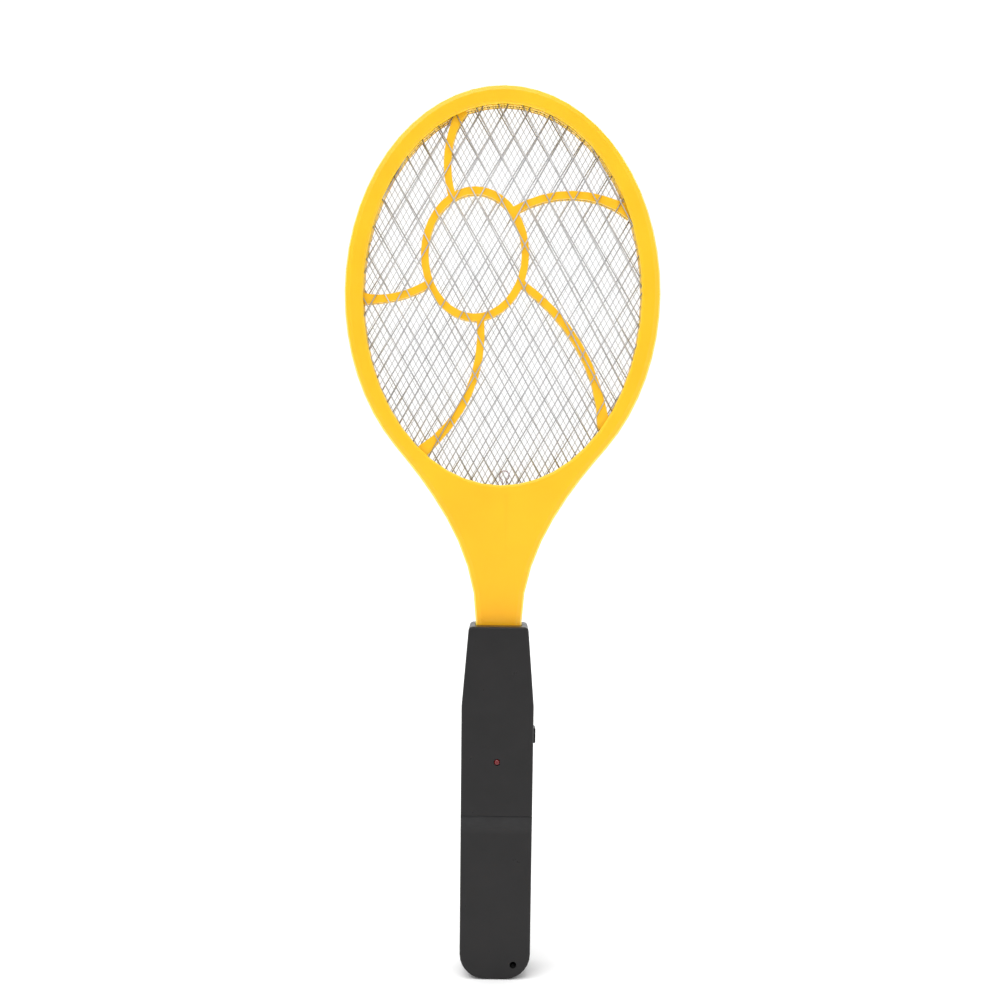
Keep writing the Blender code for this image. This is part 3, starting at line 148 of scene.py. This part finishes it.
class Paint:
    """A procedural material: noise, bands and bumps wired into one Principled shader."""

    def __init__(self, name):
        self.material = bpy.data.materials.new(name)
        self.material.use_nodes = True
        self.nodes = self.material.node_tree.nodes
        self.links = self.material.node_tree.links
        self.shader = self.nodes["Principled BSDF"]
        self.place = self.nodes.new("ShaderNodeTexCoord").outputs["Object"]
        self.normal = None

    def set(self, **values):
        for name, value in values.items():
            self.shader.inputs[name.replace("_", " ")].default_value = value
        return self

    def stretched(self, x, y, z):
        """Coordinates scaled along the axes."""
        node = self.nodes.new("ShaderNodeMapping")
        node.inputs["Scale"].default_value = (x, y, z)
        self.links.new(self.place, node.inputs["Vector"])
        return node.outputs["Vector"]

    def noise(self, size, detail=3.0, rough=0.5, place=None):
        """Noise with features of about this size, from 0 to 1."""
        node = self.nodes.new("ShaderNodeTexNoise")
        node.inputs["Scale"].default_value = 1.0 / size
        node.inputs["Detail"].default_value = detail
        node.inputs["Roughness"].default_value = rough
        self.links.new(place or self.place, node.inputs["Vector"])
        return node.outputs["Fac"]

    def cells(self, size, place=None, feature="F1"):
        """Distances in a pattern of cells of about this size."""
        node = self.nodes.new("ShaderNodeTexVoronoi")
        node.feature = feature
        node.inputs["Scale"].default_value = 1.0 / size
        self.links.new(place or self.place, node.inputs["Vector"])
        return node.outputs["Distance"]

    def waves(self, size, direction="Z", distortion=0.0, place=None):
        node = self.nodes.new("ShaderNodeTexWave")
        node.bands_direction = direction
        node.inputs["Scale"].default_value = 2 * math.pi / 20 / size
        node.inputs["Distortion"].default_value = distortion
        self.links.new(place or self.place, node.inputs["Vector"])
        return node.outputs["Fac"]

    def ramp(self, value, low, high, to_low=0.0, to_high=1.0):
        """The value taken from one range to another, and held at its ends."""
        node = self.nodes.new("ShaderNodeMapRange")
        node.inputs["From Min"].default_value = low
        node.inputs["From Max"].default_value = high
        node.inputs["To Min"].default_value = to_low
        node.inputs["To Max"].default_value = to_high
        self.links.new(value, node.inputs["Value"])
        return node.outputs["Result"]

    def axis(self, letter):
        node = self.nodes.new("ShaderNodeSeparateXYZ")
        self.links.new(self.place, node.inputs[0])
        return node.outputs[letter]

    def math(self, operation, a, b=0.0):
        node = self.nodes.new("ShaderNodeMath")
        node.operation = operation
        for socket, value in zip(node.inputs, (a, b)):
            if isinstance(value, (int, float)):
                socket.default_value = value
            else:
                self.links.new(value, socket)
        return node.outputs[0]

    def mix(self, share, first, second):
        """A colour between two colours, each a tuple or another mix."""
        node = self.nodes.new("ShaderNodeMix")
        node.data_type = "RGBA"
        for socket, value in zip((node.inputs[6], node.inputs[7]), (first, second)):
            if isinstance(value, tuple):
                socket.default_value = (*value, 1.0)
            else:
                self.links.new(value, socket)
        self.links.new(share, node.inputs[0])
        return node.outputs[2]

    def side(self):
        """0 on faces that look straight to the front or rear, rising to 1 where the surface turns away: the
        mask of the yellow plastic's painted sheen.
        """
        split = self.nodes.new("ShaderNodeSeparateXYZ")
        self.links.new(self.nodes.new("ShaderNodeTexCoord").outputs["Normal"], split.inputs[0])
        return self.ramp(self.math("ABSOLUTE", split.outputs["Y"]), 0.35, 0.98, 1.0, 0.0)

    def edges(self, radius, low=0.90, high=0.995):
        """1 on sharp edges and 0 on open surfaces."""
        bevel = self.nodes.new("ShaderNodeBevel")
        bevel.samples = 4
        bevel.inputs["Radius"].default_value = radius
        plain = self.nodes.new("ShaderNodeNewGeometry").outputs["Normal"]
        dot = self.nodes.new("ShaderNodeVectorMath")
        dot.operation = "DOT_PRODUCT"
        self.links.new(bevel.outputs["Normal"], dot.inputs[0])
        self.links.new(plain, dot.inputs[1])
        return self.ramp(dot.outputs["Value"], low, high, 1.0, 0.0)

    def colour(self, value):
        self.links.new(value, self.shader.inputs["Base Color"])
        return self

    def roughness(self, value):
        self.links.new(value, self.shader.inputs["Roughness"])
        return self

    def bump(self, height, depth, strength=1.0):
        """Adds relief of this depth in metres to any relief that is already there."""
        node = self.nodes.new("ShaderNodeBump")
        node.inputs["Strength"].default_value = strength
        node.inputs["Distance"].default_value = depth
        self.links.new(height, node.inputs["Height"])
        if self.normal:
            self.links.new(self.normal, node.inputs["Normal"])
        self.normal = node.outputs["Normal"]
        self.links.new(self.normal, self.shader.inputs["Normal"])
        return self


def moulded(name, colour, deep, rough, grain, relief, cloud=18 * MM, worn=0.25, lighter=1.25):
    """Injection-moulded plastic: a fine grain, clouded colour, and edges a little lighter."""
    paint = Paint(name)
    clouds = paint.ramp(paint.noise(cloud, 4.0), 0.35, 0.65)
    base = paint.mix(clouds, colour, deep)
    light = tuple(min(1.0, value * lighter + 0.01) for value in colour)
    patches = paint.ramp(paint.noise(2.5 * MM, 3.0), 0.40, 0.70, 0.2, 1.0)
    wear = paint.math("MULTIPLY", paint.edges(0.5 * MM), patches)
    paint.colour(paint.mix(paint.math("MULTIPLY", wear, worn), base, light))
    haze = paint.ramp(paint.noise(6 * MM, 5.0, 0.65), 0.3, 0.7, rough - 0.06, rough + 0.06)
    paint.roughness(haze)
    paint.bump(paint.noise(9 * MM, 2.0), 0.05 * MM, 0.5)
    paint.bump(paint.noise(grain, 3.0, 0.6), relief)
    return paint


def metal(name, colour, dull, rough, streak=(1, 1, 1), size=1.5 * MM):
    """Bare metal: drawn or stamped streaks with duller patches."""
    paint = Paint(name)
    place = paint.stretched(*streak)
    patches = paint.ramp(paint.noise(12 * MM, 4.0), 0.35, 0.7)
    fine = paint.noise(size, 4.0, 0.6, place)
    paint.colour(paint.mix(patches, colour, dull))
    paint.roughness(paint.ramp(fine, 0.3, 0.7, rough - 0.08, rough + 0.10))
    paint.bump(fine, 0.01 * MM, 0.6)
    paint.set(Metallic=1.0)
    return paint


def plain_finish(name, colour, deep, rough, size, relief, **values):
    """Small moulded, dipped or coated parts: colour clouds, uneven gloss and a shallow relief."""
    paint = Paint(name)
    paint.colour(paint.mix(paint.ramp(paint.noise(size * 4, 3.0), 0.35, 0.65), colour, deep))
    paint.roughness(paint.ramp(paint.noise(size * 2, 4.0), 0.3, 0.7, rough - 0.07, rough + 0.08))
    paint.bump(paint.noise(size, 3.0, 0.6), relief)
    return paint.set(**values)


# ---------------------------------------------------------------- materials

def yellow_plastic(name):
    """Glossy yellow plastic that lets a little light through, with a painted sheen: paler where the surface
    turns away from the front and rear.
    """
    paint = moulded(name, (0.90, 0.495, 0.009), (0.87, 0.460, 0.007), 0.36, 0.5 * MM, 0.006 * MM,
                    cloud=30 * MM, worn=0.5, lighter=1.1)
    flat = paint.shader.inputs["Base Color"].links[0].from_socket
    # the flow line, and painted shade at the neck's foot
    deeper = paint.mix(flow_line_and_neck_shade(paint), flat, FLOW_LINE_AND_SHADE_COLOUR)
    # painted sheen, paler where the surface turns away
    paint.colour(paint.mix(paint.side(), deeper, PAINTED_SHEEN_COLOUR))
    return paint.set(Specular_IOR_Level=0.35, Subsurface_Weight=0.10, Subsurface_Scale=1.2 * MM,
                     Subsurface_Radius=(1.0, 0.55, 0.15))


def flow_line_and_neck_shade(paint):
    """A faint band down the neck where the melt met, and painted shade: a deeper tone down to the handle,
    where the black handle shades the neck.
    """
    beside = paint.math("ABSOLUTE", paint.math("SUBTRACT", paint.axis("X"), FLOW_X))
    band = paint.math("MULTIPLY", paint.ramp(beside, 0.0, FLOW_WIDTH, FLOW_STRENGTH, 0.0),
                      paint.ramp(paint.axis("Z"), FLOW_AND_SHADE_TOP - FLOW_WIDTH, FLOW_AND_SHADE_TOP, 1.0, 0.0))
    # painted shade, deepest at the neck's foot by the handle
    low = paint.ramp(paint.axis("Z"), NECK_FOOT, FLOW_AND_SHADE_TOP, PAINTED_NECK_SHADE_STRENGTH, 0.0)
    return paint.math("MAXIMUM", band, low)


def black_plastic(name):
    paint = moulded(name, (0.0115, 0.0106, 0.0110), (0.0092, 0.0087, 0.0090), 0.33, 0.35 * MM, 0.012 * MM,
                    worn=0.5, lighter=1.6)
    return paint.set(Specular_IOR_Level=0.28)


def cover_plastic(name):
    """The same plastic, with painted light: paler on the thumb ramp at the cover's top, where the light from
    above falls.
    """
    paint = black_plastic(name)
    body = paint.shader.inputs["Base Color"].links[0].from_socket
    # painted light on the thumb ramp, fading out downwards from the cover's top
    painted_ramp_light = paint.ramp(paint.axis("Z"), RAMP_TOP - RAMP_FADE, RAMP_TOP, 0.0, 1.0)
    patches = paint.ramp(paint.noise(4 * MM, 4.0), 0.3, 0.7, 0.7, 1.0)
    paint.colour(paint.mix(paint.math("MULTIPLY", painted_ramp_light, patches), body, PAINTED_RAMP_LIGHT_COLOUR))
    return paint


def button_plastic(name):
    paint = moulded(name, (0.0050, 0.0050, 0.0052), (0.0040, 0.0040, 0.0042), 0.34, 0.5 * MM, 0.006 * MM,
                    worn=0.3, lighter=1.6)
    return paint.set(Specular_IOR_Level=0.20)


def grid_wire(name):
    return metal(name, (0.54, 0.535, 0.545), (0.43, 0.425, 0.435), 0.50, (1, 1, 0.25), 1.0 * MM)


def fine_wire(name):
    return metal(name, (0.60, 0.60, 0.61), (0.50, 0.50, 0.51), 0.48, (1, 1, 0.25), 1.0 * MM)


def tinned_wire(name):
    return metal(name, (0.40, 0.31, 0.31), (0.30, 0.22, 0.22), 0.40)


def steel(name):
    return metal(name, (0.56, 0.56, 0.57), (0.42, 0.42, 0.43), 0.30, (1, 1, 1), 0.8 * MM)


def nickel_plate(name):
    return metal(name, (0.68, 0.67, 0.64), (0.55, 0.54, 0.50), 0.22, (0.3, 1, 1), 0.7 * MM)


def led_lens(name):
    paint = plain_finish(name, (0.20, 0.003, 0.006), (0.14, 0.002, 0.004), 0.12, 0.6 * MM, 0.002 * MM)
    return paint.set(Transmission_Weight=0.25, IOR=1.5)


def board_mask(name):
    """Glass-fibre board: a weave under green lacquer, with plain tracks."""
    paint = Paint(name)
    weave = paint.math("MULTIPLY", paint.waves(0.8 * MM, "X"), paint.waves(0.8 * MM, "Z"))
    tracks = paint.ramp(paint.cells(4.5 * MM, feature="DISTANCE_TO_EDGE"), 0.06, 0.09, 1.0, 0.0)
    base = paint.mix(weave, (0.035, 0.150, 0.045), (0.045, 0.185, 0.055))
    paint.colour(paint.mix(tracks, base, (0.075, 0.270, 0.080)))
    paint.roughness(paint.ramp(paint.noise(3 * MM), 0.3, 0.7, 0.28, 0.42))
    paint.bump(tracks, 0.04 * MM)
    return paint


def ferrite(name):
    return plain_finish(name, (0.060, 0.060, 0.066), (0.036, 0.036, 0.040), 0.62, 0.25 * MM, 0.03 * MM)


def winding_tape(name):
    paint = plain_finish(name, (0.86, 0.62, 0.05), (0.74, 0.50, 0.03), 0.30, 0.8 * MM, 0.004 * MM)
    paint.bump(paint.waves(1.6 * MM, "Y", 0.6), 0.04 * MM)
    return paint


def film_capacitor(name):
    return plain_finish(name, (0.36, 0.055, 0.022), (0.28, 0.040, 0.016), 0.22, 1.2 * MM, 0.02 * MM,
                        Coat_Weight=0.4)


def disc_capacitor(name):
    return plain_finish(name, (0.035, 0.125, 0.46), (0.025, 0.095, 0.37), 0.25, 0.9 * MM, 0.02 * MM,
                        Coat_Weight=0.4)


def component_black(name):
    return plain_finish(name, (0.030, 0.030, 0.032), (0.020, 0.020, 0.022), 0.42, 0.3 * MM, 0.010 * MM)


def white_plastic(name):
    return plain_finish(name, (0.74, 0.72, 0.66), (0.68, 0.66, 0.60), 0.40, 0.6 * MM, 0.006 * MM)


def resistor_body(name):
    return plain_finish(name, (0.62, 0.44, 0.24), (0.54, 0.37, 0.19), 0.35, 0.4 * MM, 0.008 * MM)


def insulation(name, colour):
    deep = tuple(value * 0.8 for value in colour)
    return plain_finish(name, colour, deep, 0.42, 0.8 * MM, 0.006 * MM)


def cell_sleeve(name):
    """A plain glossy blue sleeve, scuffed paler along the cell."""
    paint = Paint(name)
    scuffs = paint.ramp(paint.noise(1.2 * MM, 5.0, 0.7, paint.stretched(1, 1, 0.15)), 0.62, 0.72)
    body = paint.mix(paint.noise(15 * MM), (0.030, 0.085, 0.210), (0.022, 0.065, 0.170))
    paint.colour(paint.mix(paint.math("MULTIPLY", scuffs, 0.3), body, (0.30, 0.34, 0.42)))
    paint.roughness(paint.ramp(paint.noise(4 * MM, 4.0), 0.3, 0.7, 0.20, 0.34))
    paint.bump(paint.noise(3 * MM, 3.0), 0.02 * MM)
    return paint.set(Metallic=0.35, Coat_Weight=0.5)


FINISHES = {
    "yellow_plastic": yellow_plastic,
    "black_plastic": black_plastic,
    "button_plastic": button_plastic,
    "white_plastic": white_plastic,
    "grid_wire": grid_wire,
    "terminal_wire": tinned_wire,
    "steel": steel,
    "contact_plate": nickel_plate,
    "component_black": component_black,
    "led_lens": led_lens,
    "circuit_board": board_mask,
    "ferrite": ferrite,
    "winding_tape": winding_tape,
    "film_capacitor": film_capacitor,
    "disc_capacitor": disc_capacitor,
    "resistor_body": resistor_body,
    "cell_sleeve": cell_sleeve,
    "red_insulation": lambda name: insulation(name, (0.55, 0.020, 0.015)),
    "black_insulation": lambda name: insulation(name, (0.022, 0.022, 0.024)),
}
MATERIALS = {slot: finish(MATERIAL_PREFIX + slot).material for slot, finish in FINISHES.items()}


def dress_cad_nodes():
    """Every CAD node takes its slot's material, and the battery cover its own plastic with painted light on
    the thumb ramp.
    """
    special = {"battery_cover": cover_plastic(MATERIAL_PREFIX + "cover_plastic").material}
    for part in frame["record"]["subparts"]:
        node = NODES[part["node"]]
        node.data.materials.clear()
        node.data.materials.append(special.get(part["node"], MATERIALS[part["material_slot"]]))


# ---------------------------------------------------------------- pieces

def new_piece(name, mesh, material, replaced, body=BODY):
    """Adds a visible piece that rides on a body and stands for these CAD nodes, if any."""
    mesh.materials.append(material)
    piece = bpy.data.objects.new(name, mesh)
    bpy.context.scene.collection.objects.link(piece)
    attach(piece, body)
    if replaced:
        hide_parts(*replaced)
    return piece


def chord(offset, angle, centre, semi_x, semi_z, crossing):
    """Ends of the net line at this distance from the crossing, inside an ellipse, or None."""
    along = Vector((math.cos(angle), math.sin(angle)))
    across = Vector((-along.y, along.x))
    start = Vector((crossing.x, crossing.z)) + across * offset - Vector((centre.x, centre.z))
    a = (along.x / semi_x)**2 + (along.y / semi_z)**2
    b = 2 * (start.x * along.x / semi_x**2 + start.y * along.y / semi_z**2)
    c = (start.x / semi_x)**2 + (start.y / semi_z)**2 - 1
    inside = b * b - 4 * a * c
    if inside <= 0:
        return None
    root = math.sqrt(inside)
    ends = [start + along * ((-b + sign * root) / (2 * a)) for sign in (-1, 1)]
    return [Vector((end.x + centre.x, end.y + centre.z)) for end in ends]


def add_rod(bm, start, end, radius, sides):
    """A straight round wire between two points."""
    along = (end - start).normalized()
    side = along.cross(Vector((0.0, 1.0, 0.0))).normalized()
    up = side.cross(along)
    rings = []
    for centre in (start, end):
        ring = []
        for i in range(sides):
            turn = 2 * math.pi * i / sides
            ring.append(bm.verts.new(centre + (side * math.cos(turn) + up * math.sin(turn)) * radius))
        rings.append(ring)
    for i in range(sides):
        j = (i + 1) % sides
        face = bm.faces.new((rings[0][i], rings[0][j], rings[1][j], rings[1][i]))
        face.smooth = True
    bm.faces.new(rings[0][::-1])
    bm.faces.new(rings[1])


def wire_net(name, node, diameter, pitch, angle, crossing, material, sides):
    """Two layers of parallel wires inside the CAD grid's outline, welded where they cross."""
    low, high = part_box(node)
    centre = (low + high) / 2
    semi_x = (high.x - low.x) / 2 - diameter
    semi_z = (high.z - low.z) / 2 - diameter
    count = int((semi_x + semi_z) * 2 / pitch)
    lift = diameter / 2 * (1 - WELD_DEPTH)
    bm = bmesh.new()
    for lean in (-1, 1):
        for i in range(-count, count + 1):
            ends = chord(i * pitch, math.radians(lean * angle + NET_TURN), centre, semi_x, semi_z, crossing)
            if ends and (ends[1] - ends[0]).length > SHORTEST_WIRE * pitch:
                start, end = (Vector((p.x, centre.y + lean * lift, p.y)) for p in ends)
                add_rod(bm, start, end, diameter / 2, sides)
    mesh = bpy.data.meshes.new(name)
    bmesh.ops.recalc_face_normals(bm, faces=bm.faces)
    bm.to_mesh(mesh)
    bm.free()
    return new_piece(name, mesh, material, [node])


def add_nets():
    coarse = MATERIALS["grid_wire"]
    fine = fine_wire(MATERIAL_PREFIX + "fine_wire").material
    wire_net("front_net", "front_grid", COARSE_WIRE, FRONT_PITCH, FRONT_ANGLE, FRONT_CROSSING, coarse,
             COARSE_SIDES)
    wire_net("rear_net", "rear_grid", COARSE_WIRE, REAR_PITCH, REAR_ANGLE, REAR_CROSSING, coarse,
             COARSE_SIDES)
    wire_net("centre_net", "centre_grid", FINE_WIRE, FINE_PITCH, FRONT_ANGLE, FRONT_CROSSING, fine,
             FINE_SIDES)


def handle_side():
    """Places and half-widths of the handle's side at its foot, shoulder and top."""
    corners = [vertex.co for vertex in NODES["handle_rear_shell"].data.vertices]
    widest = max(corners, key=lambda co: co.x)
    straight = [co for co in corners if co.z < NECK_FOOT - TOP_ROUND]
    foot = max((co for co in corners if co.z < widest.z / 2), key=lambda co: co.x)
    top_z = max(co.z for co in straight)
    top = max((co for co in straight if co.z > top_z - LEVEL), key=lambda co: co.x)
    return [(foot.z, foot.x), (widest.z, widest.x), (top.z, top.x)]


def between(points, z):
    """Half-width at this height, along straight lines between the points."""
    lower, upper = points[:2] if z <= points[1][0] else points[1:]
    share = (z - lower[0]) / (upper[0] - lower[0])
    return lower[1] + (upper[1] - lower[1]) * share


def add_seam_lip():
    """A bar behind the seam between the handle's shells, so that no light passes from side to side."""
    side = handle_side()
    mesh = bpy.data.meshes.new("seam_lip")
    bm = bmesh.new()
    rings = []
    for z in (LIP_FOOT, side[1][0], LIP_TOP):
        near = LIP_SKIN - between(side, z)
        far = near + LIP_THICKNESS
        corners = ((near, -1), (far, -1), (far, 1), (near, 1))
        rings.append([bm.verts.new((x, y * LIP_DEPTH / 2, z)) for x, y in corners])
    for lower, upper in zip(rings, rings[1:]):
        for i in range(4):
            j = (i + 1) % 4
            bm.faces.new((lower[i], lower[j], upper[j], upper[i]))
    bm.faces.new(rings[0])
    bm.faces.new(rings[-1][::-1])
    bmesh.ops.recalc_face_normals(bm, faces=bm.faces)
    bm.to_mesh(mesh)
    bm.free()
    new_piece("seam_lip", mesh, MATERIALS["black_plastic"], [])


# ---------------------------------------------------------------- floor, light and camera

def add_floor():
    bm = bmesh.new()
    bmesh.ops.create_circle(bm, cap_ends=True, radius=FLOOR_RADIUS, segments=FLOOR_SEGMENTS,
                            matrix=Matrix.Translation((0.0, 0.0, CAD_BOX[0].z - FLOOR_GAP)))
    mesh = bpy.data.meshes.new("floor")
    bm.to_mesh(mesh)
    bm.free()
    paint = Paint("floor_white")
    paint.colour(paint.mix(paint.noise(0.5), (0.93, 0.93, 0.93), (0.91, 0.91, 0.91)))
    paint.roughness(paint.ramp(paint.noise(0.05), 0.0, 1.0, 0.8, 0.9))
    mesh.materials.append(paint.material)
    floor = bpy.data.objects.new("floor", mesh)
    bpy.context.scene.collection.objects.link(floor)


def aim(thing, target):
    thing.rotation_euler = (Vector(target) - thing.location).to_track_quat("-Z", "Y").to_euler()


def add_panel(name, place, target, size, watts):
    light = bpy.data.lights.new(name, "AREA")
    light.shape = "RECTANGLE"
    light.size = size[0]
    light.size_y = size[1]
    light.energy = watts
    lamp = bpy.data.objects.new(name, light)
    lamp.location = place
    bpy.context.scene.collection.objects.link(lamp)
    aim(lamp, target)


def add_surroundings():
    """A white room: seen as plain white, and dimmer on its front side where it lights the object."""
    world = bpy.data.worlds.new("studio")
    world.use_nodes = True
    nodes = world.node_tree.nodes
    links = world.node_tree.links
    direction = nodes.new("ShaderNodeTexCoord").outputs["Generated"]
    split = nodes.new("ShaderNodeSeparateXYZ")
    links.new(direction, split.inputs[0])
    shade = nodes.new("ShaderNodeMapRange")
    shade.interpolation_type = "SMOOTHSTEP"
    shade.inputs["From Min"].default_value = ROOM_TURN[0]
    shade.inputs["From Max"].default_value = ROOM_TURN[1]
    shade.inputs["To Min"].default_value = ROOM_FRONT
    shade.inputs["To Max"].default_value = ROOM_BACK
    links.new(split.outputs["Y"], shade.inputs["Value"])
    seen = nodes.new("ShaderNodeMix")
    links.new(nodes.new("ShaderNodeLightPath").outputs["Is Camera Ray"], seen.inputs[0])
    links.new(shade.outputs["Result"], seen.inputs[2])
    seen.inputs[3].default_value = ROOM_SEEN
    background = nodes["Background"]
    background.inputs["Color"].default_value = (1.0, 1.0, 1.0, 1.0)
    links.new(seen.outputs[0], background.inputs["Strength"])
    bpy.context.scene.world = world


def add_overhead():
    """A very soft light from above, in front and to the left."""
    light = bpy.data.lights.new("overhead", "SUN")
    light.energy = OVERHEAD
    light.angle = math.radians(OVERHEAD_SPREAD)
    lamp = bpy.data.objects.new("overhead", light)
    lamp.location = OVERHEAD_PLACE
    bpy.context.scene.collection.objects.link(lamp)
    aim(lamp, (0.0, 0.0, 0.0))


def add_light():
    add_surroundings()
    add_overhead()
    middle = (CAD_BOX[0] + CAD_BOX[1]) / 2
    add_panel("fill_panel", FILL_PLACE, middle, FILL_SIZE, FILL_WATTS)
    add_panel("back_panel", BACK_PLACE, middle, BACK_SIZE, BACK_WATTS)


def add_camera():
    data = bpy.data.cameras.new("camera")
    data.sensor_width = SENSOR_WIDTH
    data.lens = CAMERA_LENS
    camera = bpy.data.objects.new("camera", data)
    camera.location = (CAMERA_X, -CAMERA_DISTANCE, CAMERA_HEIGHT)
    camera.rotation_euler = (math.radians(90), math.radians(CAMERA_ROLL), 0.0)
    bpy.context.scene.collection.objects.link(camera)
    bpy.context.scene.camera = camera


dress_cad_nodes()
add_nets()
add_seam_lip()
add_floor()
add_light()
add_camera()
bpy.context.scene.view_settings.view_transform = "Standard"
